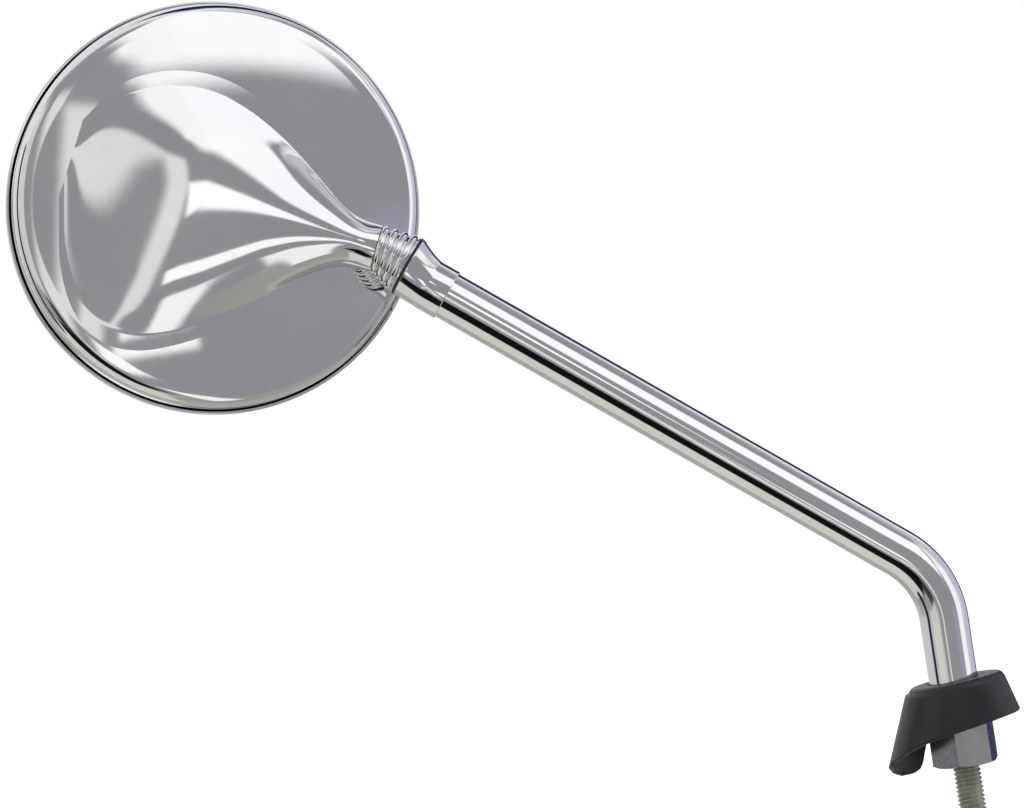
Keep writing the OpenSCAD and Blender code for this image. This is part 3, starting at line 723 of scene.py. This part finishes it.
def direction(azimuth, elevation):
    """Azimuth 0 is behind the camera, -Y, and 90 is +X, to the right."""
    flat = math.cos(rad(elevation))
    return Vector((math.sin(rad(azimuth)) * flat, -math.cos(rad(azimuth)) * flat, math.sin(rad(elevation))))


def panel(nodes, ray, behind, azimuth, elevation, half_w, half_h, colour, soft, roll):
    """Paints a soft-edged rectangle, of the given half sizes in degrees, over what lies behind it."""
    ahead = direction(azimuth, elevation)
    across = Vector((math.cos(rad(azimuth)), math.sin(rad(azimuth)), 0))
    spin = Matrix.Rotation(rad(roll), 3, ahead)
    above = spin @ across.cross(ahead)
    across = spin @ across

    def dot(vector):
        return nodes.add("ShaderNodeVectorMath", {0: ray, 1: vector}, operation="DOT_PRODUCT").outputs["Value"]

    def within(vector, half):
        limits = {"Value": nodes.math("ABSOLUTE", dot(vector)), "From Min": math.sin(rad(half)) + soft,
                  "From Max": math.sin(rad(half)), "To Min": 0.0, "To Max": 1.0}
        return nodes.add("ShaderNodeMapRange", limits, interpolation_type="SMOOTHSTEP").outputs["Result"]

    front = nodes.math("GREATER_THAN", dot(ahead), 0.0)
    inside = nodes.math("MULTIPLY", within(across, half_w), within(above, half_h))
    return nodes.mix(nodes.math("MULTIPLY", inside, front), behind, colour)


def paint_world():
    world = bpy.data.worlds.new("studio")
    bpy.context.scene.world = world
    world.use_nodes = True
    nodes = Nodes(world.node_tree)
    ray = nodes.add("ShaderNodeTexCoord").outputs["Generated"]
    height = nodes.add("ShaderNodeSeparateXYZ", {0: ray}).outputs["Z"]
    lifted = nodes.add("ShaderNodeMapRange", {"Value": height, "From Min": -1.0, "From Max": 1.0})
    colour = nodes.ramp(lifted.outputs["Result"], [(0.3, (0.50, 0.48, 0.44)), (0.5, (0.80, 0.79, 0.80)),
                                                   (0.75, (0.95, 0.95, 0.97))])
    for values in PANELS:
        colour = panel(nodes, ray, colour, *values)
    seen = nodes.add("ShaderNodeLightPath").outputs["Is Camera Ray"]
    shown = nodes.mix(seen, colour, (1, 1, 1))
    background = nodes.add("ShaderNodeBackground", {"Color": shown, "Strength": 1.0})
    nodes.add("ShaderNodeOutputWorld", {"Surface": background.outputs["Background"]})


paint_world()

# Floor: white paper that takes the shadow, a little brighter to the camera so that it meets the white behind
FLOOR_Z = -0.0225
FLOOR_SIZE = 3.0
FLOOR_GLOW = 0.6
corners = [(x * FLOOR_SIZE, y * FLOOR_SIZE, FLOOR_Z) for x, y in ((-1, -1), (1, -1), (1, 1), (-1, 1))]
floor_mesh = bpy.data.meshes.new("floor")
floor_mesh.from_pydata(corners, [], [(0, 1, 2, 3)])
floor = bpy.data.objects.new("floor", floor_mesh)
bpy.context.scene.collection.objects.link(floor)
floor.visible_glossy = False


def paper_material():
    made = bpy.data.materials.new("paper")
    made.use_nodes = True
    nodes = Nodes(made.node_tree)
    grain = nodes.noise(nodes.add("ShaderNodeTexCoord").outputs["Object"], 40)
    colour = nodes.ramp(grain, [(0.3, (0.86, 0.86, 0.86)), (0.7, (0.90, 0.90, 0.90))])
    matt = nodes.add("ShaderNodeBsdfDiffuse", {"Color": colour})
    strength = nodes.math("MULTIPLY", nodes.add("ShaderNodeLightPath").outputs["Is Camera Ray"], FLOOR_GLOW)
    glow = nodes.add("ShaderNodeEmission", {"Color": (1, 1, 1, 1), "Strength": strength})
    both = nodes.add("ShaderNodeAddShader", {0: matt.outputs["BSDF"], 1: glow.outputs["Emission"]})
    nodes.add("ShaderNodeOutputMaterial", {"Surface": both.outputs["Shader"]})
    return made


floor_mesh.materials.append(paper_material())
